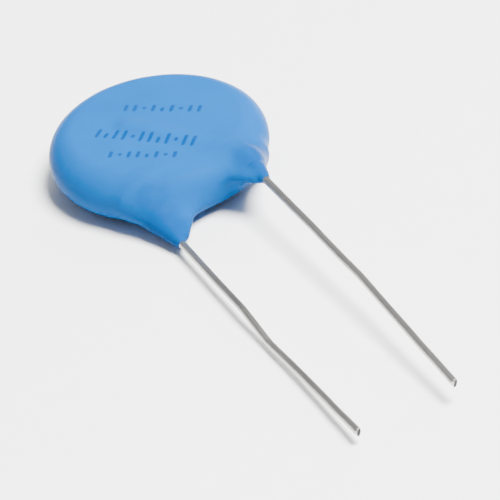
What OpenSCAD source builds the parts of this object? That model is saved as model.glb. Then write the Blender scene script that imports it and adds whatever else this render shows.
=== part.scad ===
// Radial-lead ceramic disc capacitor, lying on its back face as it comes to rest.
// A silvered ceramic disc has a tinned wire soldered across each face, and a dipped epoxy
// coating closes over it all and runs a little way down the two wires.
// +Z is up, the leads point along -Y, and +X is the side of the front lead.

/* [Ceramic disc] */
// Diameter of the bare ceramic disc
ceramic_d = 14.8; // [12:0.1:20]
// Thickness of the ceramic
ceramic_t = 2.2; // [1.4:0.1:3]

/* [Electrodes] */
// Bare ring of ceramic left outside each electrode
electrode_margin = 0.7; // [0.4:0.1:1.4]
// Thickness of the fired silver layer
electrode_t = 0.05; // [0.03:0.01:0.1]

/* [Leads] */
// Diameter of the wire
wire_d = 0.6; // [0.4:0.05:0.7]
// Distance between the two leads at the rim of the body
lead_pitch = 7.5; // [6:0.1:9]
// Free length of the leads below the coating
lead_l = 30; // [18:0.5:45]
// How far past the middle line of the disc each wire's buried end reaches, sideways
buried_cross = 1.8; // [0.8:0.1:2.6]
// How far past the centre of the disc each wire's buried end reaches, along the leads
buried_past = 0.9; // [0:0.1:2]
// Where each wire bends parallel to the other, measured in from the rim of the coated body
rim_bend_in = 1; // [0.7:0.1:1.4]
// Distance of the front lead's soft bend from the coating
front_bend_at = 14.8; // [8:0.2:16]
// Drop of the front lead on the way to its soft bend
front_drop = 0.95; // [0.6:0.05:1.4]
// How far the front lead leans outwards at its soft bend
front_bend_out = 0.1; // [0:0.05:0.5]
// Height of the front lead's cut end above the table
front_tip_h = 2; // [1:0.1:3]
// How far the front lead's cut end leans inwards
front_lean = 0.2; // [0:0.05:1.5]
// Distance of the back lead's crank from the coating
back_crank_at = 10.8; // [6:0.2:12]
// How far the back lead leans outwards at its crank
back_crank_out = 0.4; // [0:0.05:0.8]
// Length of the back lead's crank
back_crank_l = 4.5; // [3:0.5:6]
// Rise of the back lead before its crank
back_rise = 0.15; // [0:0.05:0.3]
// Height of the back lead above the table at the foot of its crank
back_foot_h = 0.55; // [0.4:0.05:1]
// Height of the back lead's cut end above the table
back_tip_h = 1.2; // [0.4:0.1:2]
// How far the back lead's cut end leans outwards
back_lean = 0.75; // [0:0.05:1.5]
// Inside radius of the bends in the wires
bend_r = 1.5; // [1:0.1:2]

/* [Solder] */
// Film of solder under each wire
solder_film = 0.05; // [0.03:0.01:0.1]
// Width of the solder fillet on the electrode
solder_w = 1.8; // [1.2:0.1:2.4]
// Height of the solder fillet
solder_h = 0.5; // [0.45:0.01:0.6]
// Wire end left bare beyond the solder
solder_bare = 0.5; // [0.3:0.1:1]

/* [Coating] */
// Coating over each electrode
face_coat = 1; // [0.8:0.05:1.4]
// Coating around the edge of the ceramic
rim_coat = 1.3; // [1:0.1:2]
// Extra thickness of the coating at the middle of each face
crown = 0.12; // [0:0.02:0.3]
// Coating around a buried wire, which shows as a ridge on the face
wire_coat = 0.5; // [0.45:0.05:0.8]
// How far the coating runs down each lead past the rim
shoulder_l = 2.8; // [2:0.1:3.5]
// How far inside the rim a shoulder starts
shoulder_root = 2.4; // [2:0.1:3]
// Reach of a shoulder's root from the lead, away from the other shoulder
shoulder_out = 2.6; // [2.2:0.1:3]
// Reach of a shoulder's root from the lead, towards the other shoulder
shoulder_in = 4.2; // [3.4:0.1:4.8]
// Height of each shoulder at its root
shoulder_h = 3.8; // [3.2:0.1:4.2]
// Coating left on the wire at the tip of a shoulder
tip_coat = 0.12; // [0.1:0.01:0.2]
// Reach of the soft blend between the ridges, the shoulders and the body
blend = 1; // [0.6:0.1:1.4]

/* [Hidden] */

wire_r = wire_d / 2;
electrode_r = ceramic_d / 2 - electrode_margin;
body_r = ceramic_d / 2 + rim_coat;
body_half = ceramic_t / 2 + electrode_t + face_coat;
sleeve_r = wire_r + wire_coat;
tip_r = wire_r + tip_coat;

// Heights and distances from the middle of the ceramic disc
wire_z = ceramic_t / 2 + electrode_t + solder_film + wire_r;
shoulder_y = -body_r - shoulder_l;
tip_y = shoulder_y - lead_l;

// The first corners of each wire's route: its buried end, its bend at the rim, and its next bend
half_pitch = lead_pitch / 2;
rim_bend_y = -body_r + rim_bend_in;
front_run = [
    [-buried_cross, buried_past, wire_z],
    [half_pitch, rim_bend_y, wire_z],
    [half_pitch + front_bend_out, shoulder_y - front_bend_at, wire_z - front_drop]
];
back_run = [
    [buried_cross, buried_past, -wire_z],
    [-half_pitch, rim_bend_y, -wire_z],
    [-half_pitch - back_crank_out, shoulder_y - back_crank_at, back_rise - wire_z]
];

// ---- vectors ----

function unit(v) = v / norm(v);
function mix(a, b, u) = a + (b - a) * u;
function clamp01(u) = min(max(u, 0), 1);
function turned(v, axis, angle) =
    v * cos(angle) + cross(axis, v) * sin(angle) + axis * (axis * v) * (1 - cos(angle));
function bend_angle(a, b, c) = acos(min(unit(b - a) * unit(c - b), 1));
function bend_reach(a, b, c) = bend_r * tan(bend_angle(a, b, c) / 2);

// ---- coating ----

function smooth_min(a, b) = min(a, b) - blend / 4 * pow(max(1 - abs(a - b) / blend, 0), 2);

// Below zero inside the coated disc: flat faces, a little thicker at the middle, and a full round rim
function disc_field(p) =
    let(
        rho = norm([p.x, p.y]),
        half = body_half + crown * (1 - pow(min(rho / body_r, 1), 2))
    )
    norm([max(rho - body_r + body_half, 0), p.z * body_half / half]) - body_half;

// The coat around the buried part of a wire
function sleeve_field(p, a, b) =
    let(u = clamp01((p - a) * (b - a) / ((b - a) * (b - a))))
    norm(p - mix(a, b, u)) - sleeve_r;

// The wire's axis at a distance y from the disc's centre, on its first run outside the rim
function on_run(route, y) = mix(route[1], route[2], (y - route[1].y) / (route[2].y - route[1].y));

// A shoulder: as thick as the disc at its root, and closing in on the wire towards the tip. The
// coating fills the corner between the two shoulders, so they reach further towards each other.
// root_share goes from 1 at the root to 0 at the tip.
root_y = -body_r + shoulder_root;
skin_end_y = -body_r - shoulder_l * 0.75;
skin_end_l = shoulder_l * 0.1;
function root_share(y) = clamp01((y - shoulder_y) / (root_y - shoulder_y));
function shoulder_field(p, route) =
    let(
        t = root_share(p.y),
        c = on_run(route, p.y),
        inner = (p.x - c.x) * c.x < 0,
        w = inner ? mix(tip_r, shoulder_in, t) : mix(tip_r, shoulder_out, pow(t, 1.3)),
        h = mix(tip_r, shoulder_h / 2, pow(t, 1.2)),
        across = [(p.x - c.x) / w, (p.z - c.z * (1 - pow(t, 1.5))) / h],
        beyond = max((skin_end_y - p.y) / skin_end_l, (p.y - root_y) / h, 0)
    )
    (norm([across[0], across[1], beyond]) - 1) * h;

function coat_field(p) =
    let(
        front = smooth_min(sleeve_field(p, front_run[0], front_run[1]), shoulder_field(p, front_run)),
        back = smooth_min(sleeve_field(p, back_run[0], back_run[1]), shoulder_field(p, back_run))
    )
    smooth_min(smooth_min(disc_field(p), front), back);

// Distance from the disc's centre to the surface along d, by halving the interval
function reach(d, low, high, steps) =
    steps == 0 ? (low + high) / 2
    : let(middle = (low + high) / 2)
    coat_field(d * middle) > 0 ? reach(d, low, middle, steps - 1) : reach(d, middle, high, steps - 1);

// The skin's points lie in rows from the top to the bottom, seen from the disc's centre
face_rows = 7;
rim_rows = 20;
face_r = body_r - body_half;
row_aims = concat(
    [for (i = [1:face_rows]) [face_r * i / face_rows, body_half]],
    [
        for (i = [1:rim_rows - 1])
            let(a = 90 - 180 * i / rim_rows) [face_r + body_half * cos(a), body_half * sin(a)]
    ],
    [for (i = [face_rows:-1:1]) [face_r * i / face_rows, -body_half]]
);

// and in columns round the disc, which crowd together at the two shoulders
column_step = 0.8;
column_spread = 0.12;
column_step_most = 5;
shoulder_angle = atan(-half_pitch / shoulder_y);
function next_column(a) = a + min(column_step + column_spread * abs(a - shoulder_angle), column_step_most);
half_columns = [for (a = 0; a < 180; a = next_column(a)) a];
column_fit = 180 / next_column(half_columns[len(half_columns) - 1]);
column_angles = concat(
    [for (a = half_columns) a * column_fit - 90],
    [90],
    [for (i = [len(half_columns) - 1:-1:1]) 270 - half_columns[i] * column_fit]
);

search_steps = 15;
search_from = body_half / 2;
search_to = body_r + shoulder_l + body_half;
skin_points = concat(
    [
        for (aim = row_aims, a = column_angles)
            let(d = unit([aim[0] * cos(a), aim[0] * sin(a), aim[1]]))
            d * reach(d, search_from, search_to, search_steps)
    ],
    [for (z = [1, -1]) [0, 0, z * reach([0, 0, z], search_from, search_to, search_steps)]]
);

module skin() {
    rows = len(row_aims);
    n = len(column_angles);
    top = rows * n;
    sides = [
        for (i = [0:rows - 2], k = [0:n - 1], half = [0, 1])
            half == 0 ? [i * n + k, i * n + (k + 1) % n, (i + 1) * n + k]
            : [i * n + (k + 1) % n, (i + 1) * n + (k + 1) % n, (i + 1) * n + k]
    ];
    lids = [
        for (k = [0:n - 1], half = [0, 1])
            half == 0 ? [top, (k + 1) % n, k] : [top + 1, (rows - 1) * n + k, (rows - 1) * n + (k + 1) % n]
    ];
    polyhedron(points = skin_points, faces = concat(sides, lids), convexity = 6);
}

// The last of the coating, drawn out along the wire to a thin collar
collar_steps = 6;
module collar(route) {
    from = on_run(route, -body_r - shoulder_l * 0.35);
    to = on_run(route, shoulder_y);
    profile = [
        for (i = [0:collar_steps])
            let(u = i / collar_steps, t = root_share(mix(from.y, to.y, u)))
            [mix(tip_r, shoulder_h / 2, pow(t, 1.4)), norm(to - from) * u]
    ];
    along(from, to) rotate_extrude($fn = 48) polygon(concat([[0, 0]], profile, [[0, norm(to - from)]]));
}

// ---- resting place ----

// The back ridge rests on the table, and the origin is under the middle of the whole length.
mid_z = -min([for (p = skin_points) p.z]);
mid_y = -(tip_y + body_r) / 2;

front_route = concat(front_run, [[half_pitch - front_lean, tip_y, front_tip_h - mid_z]]);
back_route = concat(back_run, [
    [back_run[2].x, back_run[2].y - back_crank_l, back_foot_h - mid_z],
    [-half_pitch - back_lean, tip_y, back_tip_h - mid_z]
]);

module at_rest() {
    translate([0, mid_y, mid_z]) children();
}

// ---- wires ----

// Where the straight run from corner i starts, past the bend at that corner
function run_start(route, i) =
    i == 0 ? route[0]
    : route[i] + unit(route[i + 1] - route[i]) * bend_reach(route[i - 1], route[i], route[i + 1]);

module along(from, to) {
    d = to - from;
    translate(from) rotate([0, acos(d.z / norm(d)), atan2(d.y, d.x)]) children();
}

wire_sides = 24;
wire_phase = 11;
bend_rings = 6;
tube_overlap = 0.6;
tube_slack = 0.004;

function bend_axis(a, b, c) = unit(cross(unit(b - a), unit(c - b)));

// The sideways direction of the wire's section on the run from corner i, carried round each bend
function run_side(route, i) =
    i == 0 ? unit(cross(route[1] - route[0], [0, 0, 1]))
    : let(a = route[i - 1], b = route[i], c = route[i + 1])
    turned(run_side(route, i - 1), bend_axis(a, b, c), bend_angle(a, b, c));

// Centre, sideways direction and heading of each ring round the bend at corner i
function bend_stops(route, i) =
    let(
        a = route[i - 1],
        b = route[i],
        c = route[i + 1],
        way = unit(b - a),
        axis = bend_axis(a, b, c),
        inward = cross(axis, way),
        centre = b - way * bend_reach(a, b, c) + inward * bend_r
    )
    [
        for (k = [0:bend_rings - 1])
            let(t = bend_angle(a, b, c) * k / (bend_rings - 1))
            [
                centre - turned(inward, axis, t) * bend_r,
                turned(run_side(route, i - 1), axis, t),
                turned(way, axis, t)
            ]
    ];

// The wire from its buried end to a little way past its last bend
module bent_tube(route) {
    corners = len(route) - 2;
    way = unit(route[corners + 1] - route[corners]);
    stops = concat(
        [[route[0], run_side(route, 0), unit(route[1] - route[0])]],
        [for (i = [1:corners], stop = bend_stops(route, i)) stop],
        [[run_start(route, corners) + way * tube_overlap, run_side(route, corners), way]]
    );
    n = wire_sides;
    r = wire_r - tube_slack;
    angles = [for (k = [0:n - 1]) wire_phase + 360 * k / n];
    points = [for (s = stops, t = angles) s[0] + r * (cos(t) * s[1] + sin(t) * cross(s[2], s[1]))];
    sides = [
        for (i = [0:len(stops) - 2], k = [0:n - 1])
            [i * n + k, (i + 1) * n + k, (i + 1) * n + (k + 1) % n, i * n + (k + 1) % n]
    ];
    caps = [[for (k = [0:n - 1]) k], [for (k = [n - 1:-1:0]) (len(stops) - 1) * n + k]];
    polyhedron(points = points, faces = concat(sides, caps), convexity = 4);
}

// The bent tube and the last straight run, whose start lies inside the tube's end
module wire(route) {
    last = len(route) - 2;
    way = unit(route[last + 1] - route[last]);
    from = run_start(route, last) + way * tube_overlap / 2;
    bent_tube(route);
    along(from, route[last + 1]) cylinder(r = wire_r, h = norm(route[last + 1] - from), $fn = 48);
}

// ---- solder ----

// A fillet along the buried wire, wider at the electrode and closing in above the wire's middle
module solder(route, side) {
    inner = route[0];
    way = unit(route[1] - route[0]);
    foot = [inner.x, inner.y, 0];
    // Length along the wire at which its line crosses the electrode's edge
    toward = foot * way;
    reach = -toward + sqrt(toward * toward - foot * foot + electrode_r * electrode_r);
    length = reach - 2 * solder_bare;
    base_z = ceramic_t / 2 + electrode_t;
    half_w = solder_w / 2;
    top_w = wire_r + 0.02;
    profile = [
        [-half_w, 0], [half_w, 0],
        [mix(half_w, top_w, 0.55), solder_h * 0.22],
        [mix(half_w, top_w, 0.85), solder_h * 0.55],
        [top_w, solder_h],
        [-top_w, solder_h],
        [-mix(half_w, top_w, 0.85), solder_h * 0.55],
        [-mix(half_w, top_w, 0.55), solder_h * 0.22]
    ];
    translate([inner.x, inner.y, 0]) rotate([0, 0, atan2(way.y, way.x)]) translate([solder_bare, 0, 0])
        rotate([side > 0 ? 0 : 180, 0, 0]) translate([0, 0, base_z]) rotate([90, 0, 90])
            linear_extrude(height = length) polygon(profile);
}

// ---- pieces ----

module ceramic_disc() {
    color([0.82, 0.72, 0.55]) at_rest() cylinder(d = ceramic_d, h = ceramic_t, center = true, $fn = 96);
}

module electrode(side) {
    color([0.8, 0.8, 0.78]) at_rest() translate([0, 0, side > 0 ? ceramic_t / 2 : -ceramic_t / 2 - electrode_t])
        cylinder(r = electrode_r, h = electrode_t, $fn = 96);
}

module front_electrode() {
    electrode(1);
}

module back_electrode() {
    electrode(-1);
}

module front_lead() {
    color([0.66, 0.68, 0.68]) at_rest() wire(front_route);
}

module back_lead() {
    color([0.66, 0.68, 0.68]) at_rest() wire(back_route);
}

module front_solder() {
    color([0.72, 0.73, 0.72]) at_rest() difference() {
        solder(front_route, 1);
        wire(front_route);
    }
}

module back_solder() {
    color([0.72, 0.73, 0.72]) at_rest() difference() {
        solder(back_route, -1);
        wire(back_route);
    }
}

module coating() {
    color([0.33, 0.68, 0.95]) at_rest() difference() {
        union() {
            skin();
            collar(front_route);
            collar(back_route);
        }
        cylinder(d = ceramic_d, h = ceramic_t, center = true, $fn = 96);
        cylinder(r = electrode_r, h = ceramic_t + 2 * electrode_t, center = true, $fn = 96);
        solder(front_route, 1);
        solder(back_route, -1);
        wire(front_route);
        wire(back_route);
    }
}

coating();
ceramic_disc();
front_electrode();
back_electrode();
front_solder();
back_solder();
front_lead();
back_lead();
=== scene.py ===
import math

import bpy
import numpy as np
from mathutils import Matrix, Vector


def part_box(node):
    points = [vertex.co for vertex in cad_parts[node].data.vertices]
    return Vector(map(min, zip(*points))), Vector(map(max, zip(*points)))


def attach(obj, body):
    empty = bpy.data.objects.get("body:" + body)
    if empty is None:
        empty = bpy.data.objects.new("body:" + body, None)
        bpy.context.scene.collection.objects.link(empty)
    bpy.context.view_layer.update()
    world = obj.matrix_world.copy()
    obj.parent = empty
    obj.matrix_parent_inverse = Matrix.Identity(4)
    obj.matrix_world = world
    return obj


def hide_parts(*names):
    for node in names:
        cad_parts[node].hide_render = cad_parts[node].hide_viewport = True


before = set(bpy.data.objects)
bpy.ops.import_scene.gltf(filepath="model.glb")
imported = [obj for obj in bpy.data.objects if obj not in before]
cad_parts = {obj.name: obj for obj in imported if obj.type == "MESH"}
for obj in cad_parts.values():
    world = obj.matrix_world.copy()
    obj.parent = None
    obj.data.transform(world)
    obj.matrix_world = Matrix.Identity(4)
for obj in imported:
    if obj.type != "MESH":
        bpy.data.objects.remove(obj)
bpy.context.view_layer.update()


# ---- ceramic disc ----
# The capacitor's dielectric: a pressed and fired disc of pale tan ceramic. It carries everything
# else and lies out of sight inside the coating.

def add(owner, kind, at, **values):
    """A node in the owner's tree, with its settings and its open sockets given by name."""
    node = owner.node_tree.nodes.new(kind)
    node.location = at
    for key, value in values.items():
        if hasattr(node, key):
            setattr(node, key, value)
        else:
            node.inputs[key.replace("_", " ")].default_value = value
    return node


def link(owner, source, output, target, socket):
    owner.node_tree.links.new(source.outputs[output], target.inputs[socket])


def new_material(name, dark, light, per_metre, bump_m, stretch=(1, 1, 1), **finish):
    """A material whose colour and height vary finely, with a finish that is even all over."""
    material = bpy.data.materials.new(name)
    material.use_nodes = True
    material.node_tree.nodes.clear()
    output = add(material, "ShaderNodeOutputMaterial", (300, 0))
    shader = add(material, "ShaderNodeBsdfPrincipled", (0, 0), **finish)
    place = add(material, "ShaderNodeTexCoord", (-1100, 0), name="place")
    spread = add(material, "ShaderNodeMapping", (-900, 0), Scale=stretch)
    noise = add(
        material, "ShaderNodeTexNoise", (-700, 0), name="noise",
        Scale=per_metre, Detail=4.0, Roughness=0.55,
    )
    ramp = add(material, "ShaderNodeValToRGB", (-500, 150), name="ramp")
    dark_stop, light_stop = ramp.color_ramp.elements
    dark_stop.position, light_stop.position = 0.3, 0.7
    dark_stop.color, light_stop.color = (*dark, 1), (*light, 1)
    bump = add(material, "ShaderNodeBump", (-400, -250), Strength=0.35, Distance=bump_m)
    link(material, shader, "BSDF", output, "Surface")
    link(material, place, "Object", spread, "Vector")
    link(material, spread, "Vector", noise, "Vector")
    link(material, noise, "Fac", ramp, "Fac")
    link(material, noise, "Fac", bump, "Height")
    link(material, ramp, "Color", shader, "Base Color")
    link(material, bump, "Normal", shader, "Normal")
    return material


def finish_node(name, material):
    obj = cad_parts[name]
    obj.data.materials.clear()
    obj.data.materials.append(material)
    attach(obj, "root")


fired = new_material(
    "fired_ceramic", dark=(0.72, 0.66, 0.55), light=(0.83, 0.78, 0.69),
    per_metre=2500.0, bump_m=0.00002, Roughness=0.55,
)
finish_node("ceramic_disc", fired)

# The pieces below are given in millimetres, from the middle of this disc.
disc_low, disc_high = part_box("ceramic_disc")
middle = np.array((disc_low + disc_high) / 2)


# ---- silver electrodes ----
# A round of silver paste printed on each face of the ceramic and fired on. It is matt and slightly
# yellow, and leaves a bare margin of ceramic outside it.

silver = new_material(
    "fired_silver", dark=(0.70, 0.67, 0.60), light=(0.84, 0.82, 0.77),
    per_metre=4000.0, bump_m=0.00001, Metallic=1.0, Roughness=0.48,
)
for side in ("front", "back"):
    finish_node(f"{side}_electrode", silver)


# ---- leads ----
# Two lengths of tinned steel wire. Each lies across one electrode, turns at the rim to run out
# beside the other one, and has been knocked a little in handling. The free ends were nipped off
# with side cutters, so they are pinched, and the cut face shows the dull steel.

wire_r = 0.3
wire_sides = 24
wire_step = 0.25
bend_r = 1.5
# From the middle of the ceramic to a wire's axis, over the electrode and between the two leads
wire_z = 1.5
half_pitch = 3.75
# How far each wire's buried end reaches past the middle, across the leads and along them
buried_cross = 1.8
buried_past = 0.9
# Where the wires bend at the rim, and where they are cut off
rim_bend_y = -7.7
tip_y = -41.5
# The table, which the wires' last corners are measured up from
table_z = -middle[2] * 1000
# Each route's corners: its buried end, its bend at the rim, its bends outside, and its cut end
front_route = [
    (-buried_cross, buried_past, wire_z),
    (half_pitch, rim_bend_y, wire_z),
    (half_pitch + 0.1, -26.3, wire_z - 0.95),
    (half_pitch - 0.2, tip_y, table_z + 2),
]
back_route = [
    (buried_cross, buried_past, -wire_z),
    (-half_pitch, rim_bend_y, -wire_z),
    (-half_pitch - 0.4, -22.3, 0.15 - wire_z),
    (-half_pitch - 0.4, -26.8, table_z + 0.55),
    (-half_pitch - 0.75, tip_y, table_z + 1.2),
]
# Each dent's distance from the cut end, its reach, and how far it moves the wire along X and Z; a
# dent has died away at dent_end times its reach
dent_end = 2.5
front_dents = [(23.0, 2.2, 0.03, 0.0), (14.5, 1.8, 0.03, 0.0), (5.0, 2.0, -0.02, 0.0)]
back_dents = [(24.0, 1.8, -0.02, 0.0), (14.7, 3.0, -0.11, 0.06), (3.6, 1.2, -0.02, 0.0)]
# The nip: its length, the cutters' turn in radians, and the shares of the wire's radius that are
# left one way and gained the other
nip_l = 0.3
nip_turn = 1.3
nip_left = 0.45
nip_spread = 0.06


def unit(v):
    return v / np.linalg.norm(v)


def bent(route, radius, step):
    """Points along a route of straight runs joined by round bends."""
    corners = [np.array(corner, float) for corner in route]
    points = [corners[0]]
    for before, corner, after in zip(corners, corners[1:], corners[2:]):
        way, way_on = unit(corner - before), unit(after - corner)
        angle = math.acos(min(way @ way_on, 1))
        inward = unit(way_on - way * (way @ way_on))
        centre = corner - way * radius * math.tan(angle / 2) + inward * radius
        count = max(int(radius * angle / step), 4)
        for turn in np.linspace(0, angle, count + 1):
            points.append(centre + radius * (way * math.sin(turn) - inward * math.cos(turn)))
    points.append(corners[-1])
    path = [points[0]]
    for start, end in zip(points, points[1:]):
        count = max(int(np.linalg.norm(end - start) / step), 1)
        path += [start + (end - start) * k / count for k in range(1, count + 1)]
    return np.array(path)


def dented(path, dents):
    """The path moved sideways by its dents."""
    along = np.concatenate([[0], np.cumsum(np.linalg.norm(np.diff(path, axis=0), axis=1))])
    from_tip = along[-1] - along
    moved = path.copy()
    for distance, reach, shift_x, shift_z in dents:
        off = np.abs(from_tip - distance) / reach
        depth = np.where(off < dent_end, np.exp(-off ** 2), 0)
        moved[:, 0] += depth * shift_x
        moved[:, 2] += depth * shift_z
    return moved


def new_object(name, points, faces):
    mesh = bpy.data.meshes.new(name)
    mesh.from_pydata([tuple(p) for p in np.asarray(points) / 1000 + middle], [], faces)
    mesh.validate()
    mesh.polygons.foreach_set("use_smooth", [True] * len(mesh.polygons))
    obj = bpy.data.objects.new(name, mesh)
    bpy.context.scene.collection.objects.link(obj)
    return obj


def tube_faces(rings, sides):
    """The wall of a tube, ring by ring, and then its two ends."""
    last = (rings - 1) * sides
    wall = [
        (ring + k, ring + (k + 1) % sides, ring + sides + (k + 1) % sides, ring + sides + k)
        for ring in range(0, last, sides) for k in range(sides)
    ]
    return wall + [tuple(range(sides))[::-1], tuple(range(last, last + sides))]


def swept_wire(name, path):
    """A round wire along the path, nipped at its far end."""
    heads = np.gradient(path, axis=0)
    heads /= np.linalg.norm(heads, axis=1)[:, None]
    side = unit(np.cross(heads[0], (0, 0, 1)))
    sides = []
    for head in heads:
        side = unit(side - head * (side @ head))
        sides.append(side)
    ups = np.cross(heads, sides)
    turn = np.arange(wire_sides) * 2 * math.pi / wire_sides
    from_nip = np.clip(np.linalg.norm(path - path[-1], axis=1) / nip_l, 0, 1)
    thick = nip_left + (1 - nip_left) * np.sin(from_nip * math.pi / 2)
    wide = 1 + nip_spread * (1 - from_nip)
    cos_nip, sin_nip = math.cos(nip_turn), math.sin(nip_turn)
    points = []
    for centre, side, up, stretch, squash in zip(path, sides, ups, wide, thick):
        x = wire_r * np.cos(turn) * stretch
        y = wire_r * np.sin(turn) * squash
        aside, above = x * cos_nip - y * sin_nip, x * sin_nip + y * cos_nip
        points.append(centre + np.outer(aside, side) + np.outer(above, up))
    return new_object(name, np.concatenate(points), tube_faces(len(path), wire_sides))


tinned = new_material(
    "tinned_wire", dark=(0.46, 0.45, 0.435), light=(0.63, 0.615, 0.595),
    per_metre=900.0, bump_m=0.00004, stretch=(1, 0.12, 1), Metallic=1.0, Roughness=0.5,
)
bare = new_material(
    "cut_steel", dark=(0.05, 0.05, 0.05), light=(0.09, 0.088, 0.085),
    per_metre=6000.0, bump_m=0.00002, Metallic=1.0, Roughness=0.6,
)
for name, route, dents in (
    ("front", front_route, front_dents),
    ("back", back_route, back_dents),
):
    wire = swept_wire(f"{name}_wire", dented(bent(route, bend_r, wire_step), dents))
    wire.data.materials.append(tinned)
    wire.data.materials.append(bare)
    cut_face = wire.data.polygons[-1]
    cut_face.material_index = 1
    cut_face.use_smooth = False
    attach(wire, "root")
    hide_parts(f"{name}_lead")


# ---- solder ----
# A fillet of solder holds each wire along its run over the electrode. It was dipped, so it is
# bright and drawn up smoothly to the wire.

tin = new_material(
    "dipped_solder", dark=(0.66, 0.66, 0.65), light=(0.80, 0.80, 0.79),
    per_metre=1500.0, bump_m=0.00002, Metallic=1.0, Roughness=0.24,
)
for side in ("front", "back"):
    finish_node(f"{side}_solder", tin)


# ---- coating ----
# One coat of blue epoxy. The soldered disc is held by its leads and dipped past its rim, so the
# coat is full and round at the rim, shows the buried wires as soft ridges, and ends on each lead
# in a shoulder and a thin collar.

# The disc: its radius, half its thickness, and how much higher its middle stands
body_r = 8.7
body_half = 2.15
crown = 0.12
# The coat around a buried wire, and the reach of the soft blend between all these forms
sleeve_r = 0.8
blend = 1.0
# A shoulder: how far its tip is past the rim and its root inside it; its reach away from the other
# shoulder and towards it, its height at the root, and its radius at the tip
shoulder_l = 2.8
shoulder_root = 2.4
shoulder_y = -body_r - shoulder_l
root_y = shoulder_root - body_r
shoulder_out = 2.6
shoulder_in = 4.2
shoulder_h = 3.8
tip_r = 0.42
# How quickly a shoulder narrows, thins, and comes in line with its wire; 1 is steady
narrowing = 1.3
thinning = 1.2
lining_up = 1.5
# Where a shoulder's round end starts, and how long it is
skin_end_y = -body_r - 0.75 * shoulder_l
skin_end_l = 0.1 * shoulder_l
# The collar: where it starts, how quickly it thins, its own blend, and the lip that closes on the
# wire, to just under the wire's surface
collar_from_y = -body_r - 0.35 * shoulder_l
collar_thinning = 1.4
collar_blend = 0.2
lip_l = 0.45
lip_r = 0.26
# The height of the cured skin's waves, and how far the skin is drawn in to leave them room
wave_h = 0.018
skin_inset = 0.01
# The mesh: the size of its cells, and the space that they fill
cell = 0.16
space_low = (-9.3, -12.1, -3.1)
space_high = (9.3, 9.3, 3.1)


def smooth_min(a, b, reach):
    return np.minimum(a, b) - reach / 4 * np.maximum(1 - np.abs(a - b) / reach, 0) ** 2


# Each of the next functions is below zero inside its form and above zero outside it.

def coated_disc(points):
    x, y, z = points.T
    rho = np.hypot(x, y)
    half = body_half + crown * (1 - np.minimum(rho / body_r, 1) ** 2)
    return np.hypot(np.maximum(rho - body_r + body_half, 0), z * body_half / half) - body_half


def sleeve(points, route):
    """The coat around the buried part of a wire."""
    start, end = np.array(route[0]), np.array(route[1])
    run = end - start
    share = np.clip((points - start) @ run / (run @ run), 0, 1)
    return np.linalg.norm(points - start - share[:, None] * run, axis=1) - sleeve_r


def axis_at(route, y):
    """The wire's axis at y, on its first run outside the rim."""
    start, end = np.array(route[1]), np.array(route[2])
    run = start + (end - start) * ((y - start[1]) / (end[1] - start[1]))[:, None]
    return run[:, 0], run[:, 2]


def root_share(y):
    """1 at a shoulder's root and 0 at its tip."""
    return np.clip((y - shoulder_y) / (root_y - shoulder_y), 0, 1)


def shoulder(points, route):
    """As thick as the disc at its root, and closing in on the wire towards its tip."""
    x, y, z = points.T
    axis_x, axis_z = axis_at(route, y)
    share = root_share(y)
    towards_other = (x - axis_x) * axis_x < 0
    wide = tip_r + np.where(
        towards_other, (shoulder_in - tip_r) * share, (shoulder_out - tip_r) * share ** narrowing
    )
    tall = tip_r + (shoulder_h / 2 - tip_r) * share ** thinning
    beyond = np.maximum(np.maximum((skin_end_y - y) / skin_end_l, (y - root_y) / tall), 0)
    above = (z - axis_z * (1 - share ** lining_up)) / tall
    return (np.linalg.norm([(x - axis_x) / wide, above, beyond], axis=0) - 1) * tall


def collar(points, route):
    """The last of the coat, drawn out along the wire."""
    x, y, z = points.T
    axis_x, axis_z = axis_at(route, y)
    radius = tip_r + (shoulder_h / 2 - tip_r) * root_share(y) ** collar_thinning
    from_lip = np.clip((y - shoulder_y) / lip_l, 0, 1)
    radius = lip_r + (radius - lip_r) * np.sqrt(1 - (1 - from_lip) ** 2)
    around = np.hypot(x - axis_x, z - axis_z) - radius
    return np.maximum(around, np.maximum(shoulder_y - y, y - collar_from_y))


def waves(points):
    """The cured coat's slight unevenness, between 0 and 1."""
    x, y, z = points.T
    broad = np.sin(1.1 * x + 0.6 * y + 0.7 * z + 0.4) + np.sin(-0.55 * x + 1.25 * y + 1.9)
    medium = 0.7 * np.sin(1.9 * x - 1.3 * y + 1.1 * z + 2.7)
    small = 0.5 * np.sin(2.6 * x + 2.1 * y - 0.9 * z)
    return 0.5 + (broad + medium + small) / 6.4


def coat(points):
    skin = coated_disc(points)
    for route in (front_route, back_route):
        arm = smooth_min(sleeve(points, route), shoulder(points, route), blend)
        skin = smooth_min(skin, arm, blend)
    collars = np.minimum(collar(points, front_route), collar(points, back_route))
    return smooth_min(skin + wave_h * waves(points), collars, collar_blend) + skin_inset


def onto(field, points, rounds, farthest):
    """Moves points onto the field's zero surface along its slope."""
    nudge = 0.001
    least_slope = 0.2
    for _ in range(rounds):
        slope = np.stack(
            [(field(points + d) - field(points - d)) / (2 * nudge) for d in np.eye(3) * nudge], 1
        )
        steepness = np.maximum(np.linalg.norm(slope, axis=1), least_slope)
        step = -field(points)[:, None] * slope / steepness[:, None] ** 2
        length = np.maximum(np.linalg.norm(step, axis=1), 1e-9)
        points = points + step * np.minimum(1, farthest / length)[:, None]
    return points


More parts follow.
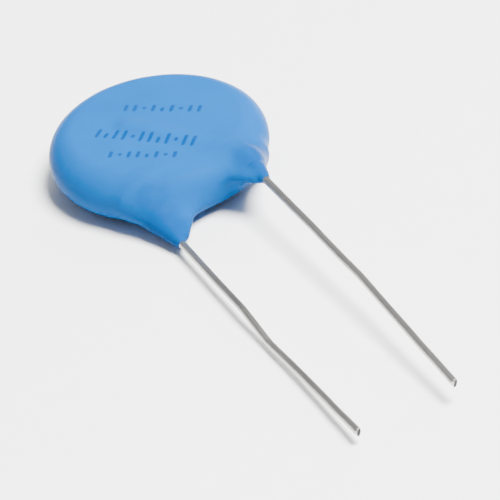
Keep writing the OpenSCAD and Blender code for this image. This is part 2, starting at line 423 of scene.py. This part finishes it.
def net(field, low, high, cell):
    """Four-sided faces over the field's zero surface, with one point in every cell it crosses."""
    axes = [np.arange(start, end + cell, cell) for start, end in zip(low, high)]
    inside = np.array([
        field(np.stack(np.meshgrid([x], axes[1], axes[2], indexing="ij"), -1).reshape(-1, 3)) < 0
        for x in axes[0]
    ]).reshape([len(axis) for axis in axes])
    nx, ny, nz = np.array(inside.shape) - 1
    corners_in = sum(
        inside[i:nx + i, j:ny + j, k:nz + k].astype(int)
        for i in (0, 1) for j in (0, 1) for k in (0, 1)
    )
    crossed = (corners_in > 0) & (corners_in < 8)
    index = np.full(crossed.shape, -1)
    index[crossed] = np.arange(crossed.sum())
    quads = []
    for a in range(3):
        order = [a, (a + 1) % 3, (a + 2) % 3]
        turned, at = inside.transpose(order), index.transpose(order)
        near, far = turned[:-1, 1:-1, 1:-1], turned[1:, 1:-1, 1:-1]
        ring = np.stack([at[:, :-1, :-1], at[:, 1:, :-1], at[:, 1:, 1:], at[:, :-1, 1:]], -1)
        quads += [ring[near & ~far], ring[far & ~near][:, ::-1]]
    return np.argwhere(crossed) * cell + np.array(low) + cell / 2, np.concatenate(quads)


def evened(field, points, quads, cell):
    """The net's points spread evenly over the surface, by moving each towards its neighbours."""
    pull = 0.6
    pairs = np.concatenate([quads[:, [k, (k + 1) % 4]] for k in range(4)])
    for _ in range(5):
        points = onto(field, points, 2, cell / 2)
        total, number = np.zeros_like(points), np.zeros(len(points))
        for here, there in (pairs.T, pairs.T[::-1]):
            np.add.at(total, here, points[there])
            np.add.at(number, here, 1)
        points = points * (1 - pull) + total / number[:, None] * pull
    return onto(field, points, 5, cell / 2)


points, quads = net(coat, space_low, space_high, cell)
coating = new_object("dipped_coating", evened(coat, points, quads, cell), quads.tolist())

epoxy = new_material(
    "dipped_epoxy", dark=(0.000, 0.064, 0.226), light=(0.000, 0.071, 0.25),
    per_metre=260.0, bump_m=0.00004, Roughness=0.26, IOR=1.06,
)
# Painted shade: the blue is painted darker towards the leads, over the shoulders, where shade
# falls; from where to where, out from the middle line and down from the centre
shade_blue = (0.000, 0.044, 0.168)
shade_out = (0.5, 3.5)
shade_down = (4.5, 9.5)
place, noise, ramp = (epoxy.node_tree.nodes[name] for name in ("place", "noise", "ramp"))
# The darkest stop of the ramp is the painted shade colour
ramp.color_ramp.elements.new(0.0).color = (*shade_blue, 1)
split = add(epoxy, "ShaderNodeSeparateXYZ", (-1100, 300))
aside = add(epoxy, "ShaderNodeMath", (-900, 400), operation="ABSOLUTE")
over_lead = add(
    epoxy, "ShaderNodeMapRange", (-700, 500), interpolation_type="SMOOTHSTEP",
    From_Min=shade_out[0] / 1000, From_Max=shade_out[1] / 1000, To_Max=0.5,
)
down_lead = add(
    epoxy, "ShaderNodeMapRange", (-700, 300), interpolation_type="SMOOTHSTEP",
    From_Min=middle[1] - shade_down[0] / 1000, From_Max=middle[1] - shade_down[1] / 1000,
)
# Painted shade mask: darker blue where the two ranges meet, over the shoulders
painted_shade = add(epoxy, "ShaderNodeMath", (-500, 400), operation="MULTIPLY")
shaded_fac = add(epoxy, "ShaderNodeMath", (-350, 150), operation="SUBTRACT")
link(epoxy, place, "Object", split, "Vector")
link(epoxy, split, "X", aside, 0)
link(epoxy, aside, "Value", over_lead, "Value")
link(epoxy, split, "Y", down_lead, "Value")
link(epoxy, over_lead, "Result", painted_shade, 0)
link(epoxy, down_lead, "Result", painted_shade, 1)
link(epoxy, noise, "Fac", shaded_fac, 0)
link(epoxy, painted_shade, "Value", shaded_fac, 1)
link(epoxy, shaded_fac, "Value", ramp, "Fac")
coating.data.materials.append(epoxy)
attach(coating, "root")
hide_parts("coating")


# ---- print ----
# Three rows of small plain bars and dots in a slightly darker blue, stamped on the upper face once
# the coat had cured. The ink is a few micrometres thick and follows the face.

# How far the ink stands above the face, and how deep its underside lies in the coat
ink_up = 0.006
ink_sunk = 0.03
# The width of a bar, the width of a dot, and the height of a short bar as a share of a full one
bar_w = 0.3
dot_d = 0.36
short_bar = 0.6
bar_points_per_mm = 12
# Each row: its start and its end on the face, the height of its bars, and its marks, which are
# bars, short bars that stand on the foot of the row, and dots
ink_rows = (
    ((-1.2, 3.6), (4.0, -0.6), 0.95, "||.|,|.||"),
    ((-4.5, 1.7), (1.4, -4.8), 1.15, "|,||.||,|.||"),
    ((-5.1, -1.7), (-0.5, -5.3), 0.85, "|.||,|.|"),
)
# Across a mark, from edge to edge: the share of its half width, and the height above the face
ink_section = (
    (-1, -ink_sunk), (-1, ink_up * 0.4), (-0.75, ink_up), (0, ink_up),
    (0.75, ink_up), (1, ink_up * 0.4), (1, -ink_sunk),
)


def on_face(x, y):
    """Height of the coat's upper face over a point."""
    low, high = np.full(len(x), 1.0), np.full(len(x), 4.0)
    for _ in range(24):
        mid = (low + high) / 2
        out = coat(np.stack([x, y, mid], 1)) > 0
        low, high = np.where(out, low, mid), np.where(out, mid, high)
    return (low + high) / 2


def ink_mark(centre, way, up, wide, tall):
    """A thin mark with round ends that follows the face and closes underneath, inside the coat."""
    straight = max(tall - wide, 0) / 2
    turn = np.radians((8, 30, 55, 90))
    end = list(zip(straight + np.cos(turn) * wide / 2, np.sin(turn) * wide / 2))
    inner = np.linspace(-straight, straight, int(straight * bar_points_per_mm) + 2)[1:-1]
    rows = [(-along, half) for along, half in end]
    rows += [(along, wide / 2) for along in inner]
    rows += end[::-1]
    shares, lifts = np.array(ink_section).T
    points = []
    for along, half in rows:
        flat = np.array([centre + up * along + way * half * share for share in shares])
        points.append(np.column_stack([flat, on_face(*flat.T) + lifts]))
    return np.concatenate(points), tube_faces(len(rows), len(ink_section))


ink_points, ink_faces = [], []
for start, end, tall, marks in ink_rows:
    start, end = np.array(start), np.array(end)
    way = unit(end - start)
    up = np.array([-way[1], way[0]])
    sizes = {"|": (bar_w, tall), ",": (bar_w, tall * short_bar), ".": (dot_d, dot_d)}
    for k, mark in enumerate(marks):
        wide, height = sizes[mark]
        centre = start + (end - start) * (k + 0.5) / len(marks)
        if mark == ",":
            centre = centre + up * (height - tall) / 2
        points, faces = ink_mark(centre, way, up, wide, height)
        used = len(ink_points)
        ink_points.extend(points)
        ink_faces += [tuple(used + i for i in face) for face in faces]
ink_marks = new_object("ink_marks", ink_points, ink_faces)

ink = new_material(
    "faint_ink", dark=(0.000, 0.035, 0.15), light=(0.000, 0.039, 0.165),
    per_metre=700.0, bump_m=0.00003, Roughness=0.35, IOR=1.08,
)
ink_marks.data.materials.append(ink)
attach(ink_marks, "root")


# ---- table ----
# A plain white table top. The capacitor lies on its back face and touches it with the ridge over
# its back wire. The table belongs to the studio.

table_half = 2
floor_mesh = bpy.data.meshes.new("table_top")
floor_mesh.from_pydata(
    [(x * table_half, y * table_half, 0) for x, y in ((-1, -1), (1, -1), (1, 1), (-1, 1))],
    [], [(0, 1, 2, 3)],
)
floor = bpy.data.objects.new("table_top", floor_mesh)
bpy.context.scene.collection.objects.link(floor)
paper = new_material(
    "white_table", dark=(0.84, 0.84, 0.84), light=(0.86, 0.86, 0.86),
    per_metre=300.0, bump_m=0.00001, Roughness=0.6,
)
floor.data.materials.append(paper)


# ---- camera ----
# A long lens above the front of the capacitor and a little to its left, rolled slightly, so that
# the disc stands at the upper left and the leads run out to the lower right.

azimuth = math.radians(-21.2)
elevation = math.radians(32.1)
roll = math.radians(9.3)
# In metres from the middle of the ceramic: how far off the camera stands, and where it aims
eye_away = 0.4
aim_right = 0.0071
aim_down = 0.0081

back = Vector((
    math.sin(azimuth) * math.cos(elevation),
    -math.cos(azimuth) * math.cos(elevation),
    math.sin(elevation),
))
right = Vector((math.cos(azimuth), math.sin(azimuth), 0))
up = back.cross(right)
across = right * math.cos(roll) - up * math.sin(roll)
upward = right * math.sin(roll) + up * math.cos(roll)
eye = Vector(middle) + back * eye_away
aim = Vector(middle) + across * aim_right - upward * aim_down
toward = (eye - aim).normalized()
level = upward.cross(toward).normalized()

lens = bpy.data.cameras.new("camera")
lens.sensor_width = 36
lens.lens = 368.5
lens.clip_start = 0.01
lens.clip_end = 10
camera = bpy.data.objects.new("camera", lens)
bpy.context.scene.collection.objects.link(camera)
turned = Matrix((level, toward.cross(level), toward)).transposed()
camera.matrix_world = Matrix.Translation(eye) @ turned.to_4x4()
bpy.context.scene.camera = camera


# ---- studio light ----
# One lamp above throws the shadow, a wider one behind it lays the soft gloss, and a third fills in
# from the far side. The walls are bright behind the edge of the table, dim just above it, where
# the rim would mirror them, and brighter again overhead.

def lamp(name, direction, distance, size, power):
    light = bpy.data.lights.new(name, "AREA")
    light.shape = "DISK"
    light.size = size
    light.energy = power
    obj = bpy.data.objects.new(name, light)
    bpy.context.scene.collection.objects.link(obj)
    obj.location = aim + Vector(direction).normalized() * distance
    obj.rotation_mode = "QUATERNION"
    obj.rotation_quaternion = (aim - obj.location).to_track_quat("-Z", "Y")
    return obj


above = (0.245, -0.386, 1.0)
far_side = (0.9, 0.7, 0.6)
key = lamp("key", above, distance=0.7, size=0.32, power=30)
key.visible_glossy = False
soft = lamp("soft", above, distance=0.9, size=0.5, power=10)
soft.visible_diffuse = False
side = lamp("side", far_side, distance=0.9, size=0.8, power=11)
side.visible_glossy = False

# How bright the walls are, by the sine of the angle above the table
wall_light = ((0.05, 1.2), (0.09, 0.08), (0.9, 0.5))
world = bpy.data.worlds.new("studio")
bpy.context.scene.world = world
world.use_nodes = True
background = world.node_tree.nodes["Background"]
outward = add(world, "ShaderNodeTexCoord", (-900, 0))
height = add(world, "ShaderNodeSeparateXYZ", (-700, 0))
walls = add(world, "ShaderNodeValToRGB", (-500, 0))
stops = walls.color_ramp.elements
for at, light in wall_light:
    stops.new(at).color = (light, light, light, 1)
stops.remove(stops[0])
stops.remove(stops[-1])
link(world, outward, "Generated", height, "Vector")
link(world, height, "Z", walls, "Fac")
link(world, walls, "Color", background, "Color")
